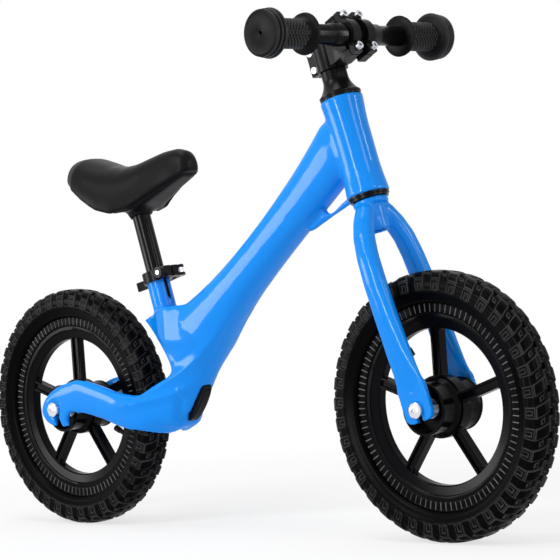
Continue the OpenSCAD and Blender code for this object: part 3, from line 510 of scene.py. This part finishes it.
def make_tyre(name, node, axle, bead):
    low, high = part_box(node)
    radius, half = (high.z - low.z) / 2, (high.y - low.y) / 2
    profile = tyre_profile(radius, half, bead)
    shape = bmesh.new()
    edge_highlight, from_middle = (shape.verts.layers.float.new(label)
                         for label in ("edge", "from_middle"))
    ring = [shape.verts.new((axle.x, y, axle.z + r)) for r, y in profile]
    # each point of the profile keeps its distance from the middle of the crown, in mm
    middle = len(profile) // 2
    for line in (ring[middle:], ring[middle::-1]):
        for last, v in zip(line, line[1:]):
            v[from_middle] = last[from_middle] + (v.co - last.co).length / MM
    edges = [shape.edges.new((a, b)) for a, b in zip(ring, ring[1:] + ring[:1])]
    steps = TREAD_BLOCKS * STEPS_PER_BLOCK
    bmesh.ops.spin(shape, geom=ring + edges, cent=axle, axis=(0, 1, 0), angle=2 * math.pi,
                   steps=steps, use_merge=True)
    bmesh.ops.remove_doubles(shape, verts=shape.verts, dist=0.01 * MM)
    bmesh.ops.recalc_face_normals(shape, faces=shape.faces)
    shape.normal_update()
    pitch = 2 * math.pi * radius / MM / TREAD_BLOCKS
    seen = {}
    for v in shape.verts:
        out = Vector((v.co.x - axle.x, 0, v.co.z - axle.z))
        r, across = out.length, v.co.y
        step = round(math.atan2(out.x, out.z) / (2 * math.pi) * steps) % steps
        s = v[from_middle]
        if s < TREAD_END:
            key = (step % STEPS_PER_BLOCK, round(s, 2), across < 0)
            if key not in seen:
                u = step / STEPS_PER_BLOCK + (0.5 if across < 0 else 0.0)
                seen[key] = tread(u % 1.0, s, pitch)
            height, edge = seen[key]
            shallower = (1 - 0.5 * smooth_step(18, 26, s)) * (1 - smooth_step(30, TREAD_END, s))
            depth = TREAD_DEPTH * shallower
            v.co -= v.normal * depth * (1 - height)
            # painted highlight: the edges of the tread blocks are made paler
            v[edge_highlight] = CROWN_HIGHLIGHT * edge * (1 - smooth_step(31, TREAD_END, s))
        elif bead + RIB_BAND[0] < r < bead + RIB_BAND[1] and step % STEPS_PER_RIB == 0:
            v.co.y += math.copysign(RIB_RISE, across)
            # painted highlight: each rib is made paler along its whole length
            v[edge_highlight] = 1.0
    shape.verts.layers.float.remove(shape.verts.layers.float["from_middle"])
    print(name, len(shape.faces), "faces")
    to_piece(shape, name, node).data.set_sharp_from_angle(angle=math.radians(38))


rim_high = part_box("front_rim")[1]
BEAD = rim_high.z - front_axle.z + 0.05 * MM
make_tyre("foam_tyre_front", "front_tyre", front_axle, BEAD)
make_tyre("foam_tyre_rear", "rear_tyre", rear_axle, BEAD)

# %% [markdown]
# ## Grips
#
# Each grip is soft rubber with a wide flange inside, a stack of discs at the end to protect the
# hand, and rows of short raised dashes where the palm holds it. Like the tyre, it is one spun
# profile, and the dashes are lifted out of the barrel afterwards.

# %% Spin a grip
DASH_ROWS = 15
GRIP_STEPS = DASH_ROWS * 12
DASH_PITCH = 2.4 * MM
DASH_RISE = 0.9 * MM
BARREL_START = 9 * MM
# the discs at the outer end, in mm: how far inside the widest radius, and how far from the end
END_DISCS = ((5, 15.5), (1, 15), (0, 13.8), (0.4, 11.8), (3, 11.2), (3, 9.8), (1, 9.2), (1, 6.8),
             (3.6, 6.2), (3.6, 5), (2, 4.4), (1.8, 1.4), (3.2, 0.2), (6, 0))


def make_grip(name, node, side):
    low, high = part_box(node)
    cx, cz = (low.x + high.x) / 2, (low.z + high.z) / 2
    disc = (high.z - low.z) / 2
    inner, outer = (low.y, high.y) if side > 0 else (high.y, low.y)
    length = abs(outer - inner)
    barrel = disc - 11.5 * MM
    flange = disc - 4 * MM
    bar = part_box("handlebar")
    hole = (bar[1].z - bar[0].z) / 2 - 1.5 * MM
    outline = [(hole, 0), (flange - 1.5 * MM, 0), (flange, 1.2 * MM), (flange - 0.6 * MM, 3.6 * MM),
               (barrel + 4 * MM, 5 * MM), (barrel + 1 * MM, 7 * MM), (barrel, BARREL_START)]
    barrel_length = length - 29 * MM
    rows = round(barrel_length / (DASH_PITCH / 4))
    outline += [(barrel, BARREL_START + barrel_length * k / rows) for k in range(1, rows)]
    outline += [(barrel + 1 * MM, length - 18 * MM)]
    outline += [(disc - r * MM, length - y * MM) for r, y in END_DISCS]
    outline += [(3 * MM, length), (2 * MM, length - 0.6 * MM), (2 * MM, length - 6 * MM),
                (0, length - 6 * MM)]
    shape = bmesh.new()
    edge_highlight = shape.verts.layers.float.new("edge")
    line = [shape.verts.new((cx, inner + side * y, cz + r)) for r, y in outline]
    edges = [shape.edges.new(pair) for pair in zip(line, line[1:])]
    bmesh.ops.spin(shape, geom=line + edges, cent=(cx, 0, cz), axis=(0, 1, 0), angle=2 * math.pi,
                   steps=GRIP_STEPS, use_merge=True)
    bmesh.ops.remove_doubles(shape, verts=shape.verts, dist=0.01 * MM)
    open_rim = [edge for edge in shape.edges if edge.is_boundary]
    bmesh.ops.holes_fill(shape, edges=open_rim, sides=0)
    for v in shape.verts:
        out = Vector((v.co.x - cx, 0, v.co.z - cz))
        y = abs(v.co.y - inner)
        if abs(out.length - barrel) < 0.2 * MM and 10.5 * MM < y < length - 19.5 * MM:
            row = int(y / DASH_PITCH)
            turn = math.atan2(out.x, out.z) / (2 * math.pi) * DASH_ROWS + 0.5 * (row % 2)
            if turn % 1.0 < 0.62 and y / DASH_PITCH % 1.0 < 0.5:
                v.co += out.normalized() * DASH_RISE
                # painted highlight: the raised dashes are made paler
                v[edge_highlight] = 0.30
        elif out.length > disc - 2.2 * MM:
            # painted highlight: the rims of the end discs are made paler
            v[edge_highlight] = 0.12
    bmesh.ops.recalc_face_normals(shape, faces=shape.faces)
    piece = to_piece(shape, name, node)
    piece.data.set_sharp_from_angle(angle=math.radians(40))
    print(name, len(piece.data.polygons), "faces")


make_grip("rubber_grip_left", "grip_left", 1)
make_grip("rubber_grip_right", "grip_right", -1)

# %% [markdown]
# ## Saddle
#
# The saddle is a foam pad under a thin matte cover, moulded in one with no seam on top, on a hard
# plastic shell. Its crown is one continuous curve from the raised tail to the nose. The plain CAD
# solid already has that outline, so its skin is relaxed until no facet shows.

# %% The pad and its shell
pad = skinned(merged_copy("saddle_pad"), 1.2 * MM)
relax(pad, 30, lambda co: True)
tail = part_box("saddle_pad")[0].x
relax(pad, 50, lambda co: co.x < tail + 30 * MM)
pad_piece = to_piece(pad, "saddle_cushion", "saddle_pad")
shell = skinned(merged_copy("saddle_shell"), 2.0 * MM)
relax(shell, 10, lambda co: off_axis(co, post_point, post_up)[0] > 14 * MM)
to_piece(shell, "saddle_base", "saddle_shell")
print("saddle made")

# %% The flared collar under the stem
COLLAR_POINTS = 14
COLLAR_STEPS = 96
collar = nodes["headset_cover"].data
reached = [off_axis(v.co, steer_point, steer_up) for v in collar.vertices]
wide, bore = (pick(away for away, _ in reached) for pick in (max, min))
foot, top = (pick(along for _, along in reached) for pick in (min, max))
neck = max(away for away, along in reached if along > top - 0.5 * MM)
turned = [(bore, foot), (wide - 0.5 * MM, foot), (wide, foot + 0.6 * MM), (wide, foot + 2.6 * MM)]
for k in range(COLLAR_POINTS + 1):
    t = k / COLLAR_POINTS
    turned.append((neck + (wide - 1.2 * MM - neck) * (1 - t) ** 1.9, foot + 3.4 * MM + 17 * MM * t))
turned += [(neck, top - 0.5 * MM), (neck - 0.5 * MM, top), (bore, top)]
shape = bmesh.new()
sideways = Vector((0, 1, 0))
ring = [shape.verts.new(steer_point + steer_up * along + sideways * away) for away, along in turned]
edges = [shape.edges.new(pair) for pair in zip(ring, ring[1:] + ring[:1])]
bmesh.ops.spin(shape, geom=ring + edges, cent=steer_point, axis=steer_up, angle=2 * math.pi,
               steps=COLLAR_STEPS, use_merge=True)
bmesh.ops.remove_doubles(shape, verts=shape.verts, dist=0.01 * MM)
bmesh.ops.recalc_face_normals(shape, faces=shape.faces)
to_piece(shape, "flared_collar", "headset_cover").data.set_sharp_from_angle(angle=math.radians(35))
print("collar:", round(wide / MM, 1), "mm to", round(neck / MM, 1), "mm")

# %% [markdown]
# ## Machined and moulded blocks
#
# Stems, clamps, levers, tubes and moulded rims have a small broken edge, and that edge is what
# catches the light. A merged copy of each CAD node gets a narrow bevel on its sharp edges only.

# %% Break the sharp edges
FLAT, SHARP = math.radians(1.5), math.radians(32)


def edged(name, node, width):
    shape = merged_copy(node)
    bmesh.ops.dissolve_limit(shape, angle_limit=FLAT, verts=shape.verts, edges=shape.edges)
    piece = to_piece(shape, name, node)
    bevel = piece.modifiers.new("edge", "BEVEL")
    bevel.width = width
    bevel.segments = 2
    bevel.limit_method = "ANGLE"
    bevel.angle_limit = SHARP
    bevel.use_clamp_overlap = True
    piece.data.set_sharp_from_angle(angle=SHARP)


for name, node, width in (
    ("stem_body", "stem", 0.7), ("bar_band_left", "clamp_band_left", 0.6),
    ("bar_band_right", "clamp_band_right", 0.6), ("seat_collar", "seat_clamp", 0.6),
    ("quick_lever", "clamp_lever", 0.6), ("belly_cover", "bottom_cover", 1.2),
    ("post_tube", "seat_post", 0.4), ("bar_tube", "handlebar", 0.4),
    ("moulded_rim_front", "front_rim", 0.5), ("moulded_rim_rear", "rear_rim", 0.5),
):
    edged(name, node, width * MM)
print("edges broken")

# %% [markdown]
# ## Floor, light and camera
#
# A product picture needs very little: a pale floor that keeps a soft contact shadow, a white
# surround, and large lamps so that the paint shows long, calm highlights. White comes from what
# the camera and the reflections see, so the lamps themselves stay at a plain level.

# %% Floor and white surround
def light_path_mask(tree):
    """1 for what the camera sees, directly or in a reflection, and 0 for the light on the bike."""
    path = tree.nodes.new("ShaderNodeLightPath")
    total = path.outputs["Is Camera Ray"]
    for label in ("Is Glossy Ray", "Is Transmission Ray"):
        either = tree.nodes.new("ShaderNodeMath")
        either.operation = "MAXIMUM"
        tree.links.new(total, either.inputs[0])
        tree.links.new(path.outputs[label], either.inputs[1])
        total = either.outputs[0]
    return total


FLOOR_SIZE = 12
GLOW_NEAR = 0.70
bpy.ops.mesh.primitive_plane_add(size=FLOOR_SIZE)
floor = bpy.context.object
floor.name = "floor"
floor_finish = bpy.data.materials.new("pale_floor")
floor_finish.use_nodes = True
tree = floor_finish.node_tree
matte = tree.nodes["Principled BSDF"]
matte.inputs["Base Color"].default_value = (0.90, 0.90, 0.90, 1)
matte.inputs["Roughness"].default_value = 0.9
matte.inputs["Specular IOR Level"].default_value = 0.0
glow = tree.nodes.new("ShaderNodeEmission")
glow.inputs["Color"].default_value = (1, 1, 1, 1)
blend = tree.nodes.new("ShaderNodeMixShader")
# under the bike the floor keeps its shadow; further out it fades into the surround
spot = tree.nodes.new("ShaderNodeTexCoord")
reach = tree.nodes.new("ShaderNodeVectorMath")
reach.operation = "LENGTH"
fade = tree.nodes.new("ShaderNodeMapRange")
fade.interpolation_type = "SMOOTHSTEP"
for label, value in (("From Min", 0.45), ("From Max", 1.1), ("To Min", GLOW_NEAR), ("To Max", 1.0)):
    fade.inputs[label].default_value = value
part_glow = tree.nodes.new("ShaderNodeMath")
part_glow.operation = "MULTIPLY"
tree.links.new(spot.outputs["Object"], reach.inputs[0])
tree.links.new(reach.outputs["Value"], fade.inputs["Value"])
tree.links.new(light_path_mask(tree), part_glow.inputs[0])
tree.links.new(fade.outputs["Result"], part_glow.inputs[1])
tree.links.new(part_glow.outputs[0], blend.inputs["Fac"])
tree.links.new(matte.outputs["BSDF"], blend.inputs[1])
tree.links.new(glow.outputs["Emission"], blend.inputs[2])
tree.links.new(blend.outputs["Shader"], tree.nodes["Material Output"].inputs["Surface"])
floor.data.materials.append(floor_finish)

world = bpy.data.worlds.new("white_surround")
scene.world = world
world.use_nodes = True
sky = world.node_tree
back = sky.nodes["Background"]
level = sky.nodes.new("ShaderNodeMapRange")
level.inputs["To Min"].default_value = 0.42
level.inputs["To Max"].default_value = 1.0
sky.links.new(light_path_mask(sky), level.inputs["Value"])
sky.links.new(level.outputs["Result"], back.inputs["Strength"])
back.inputs["Color"].default_value = (1, 1, 1, 1)
print("floor and surround ready")

# %% Soft lamps
def softbox(name, place, target, width, height, power, only_shine=False):
    """A rectangular lamp. One that is only_shine shows in gloss and adds no light."""
    lamp = bpy.data.lights.new(name, "AREA")
    lamp.shape = "RECTANGLE"
    lamp.size, lamp.size_y, lamp.energy = width, height, power
    holder = bpy.data.objects.new(name, lamp)
    scene.collection.objects.link(holder)
    holder.location = place
    holder.rotation_mode = "QUATERNION"
    holder.rotation_quaternion = (Vector(target) - Vector(place)).to_track_quat("-Z", "Y")
    holder.visible_diffuse = not only_shine


middle = (0, 0, 0.3)
softbox("key", (-0.6, -2.1, 1.9), middle, 1.1, 0.8, 36)
softbox("side", (2.2, -0.3, 1.2), middle, 0.5, 1.0, 10)
softbox("top", (-0.3, -0.2, 2.3), middle, 1.5, 0.8, 18)
softbox("long_shine", (0.3, -2.4, 0.7), middle, 0.30, 1.6, 40, only_shine=True)
softbox("panel_shine", (-1.75, -1.75, 0.42), middle, 1.1, 0.6, 24, only_shine=True)
softbox("edge_shine", (2.2, 1.1, 0.8), middle, 0.28, 1.5, 26, only_shine=True)

# %% [markdown]
# The camera stands low and well back with a long lens, so that the wheels keep their shape. It
# leans by a few degrees.

# %% Camera
AZIMUTH, ELEVATION, ROLL = (math.radians(a) for a in (43.75, 1.09, -4.05))
CAMERA_PLACE = (1.8336, -1.8476, 0.3385)
camera_data = bpy.data.cameras.new("camera")
camera = bpy.data.objects.new("camera", camera_data)
scene.collection.objects.link(camera)
scene.camera = camera
camera_data.sensor_width = 36
camera_data.lens = 144.6
away = Vector((math.sin(AZIMUTH) * math.cos(ELEVATION), -math.cos(AZIMUTH) * math.cos(ELEVATION),
               math.sin(ELEVATION)))
level_right = Vector((math.cos(AZIMUTH), math.sin(AZIMUTH), 0))
level_up = away.cross(level_right)
right = math.cos(ROLL) * level_right + math.sin(ROLL) * level_up
up = math.cos(ROLL) * level_up - math.sin(ROLL) * level_right
turned_to = Matrix((right, up, away)).transposed().to_4x4()
camera.matrix_world = Matrix.Translation(CAMERA_PLACE) @ turned_to
scene.view_settings.view_transform = "Standard"

# %% The end
bpy.context.view_layer.update()
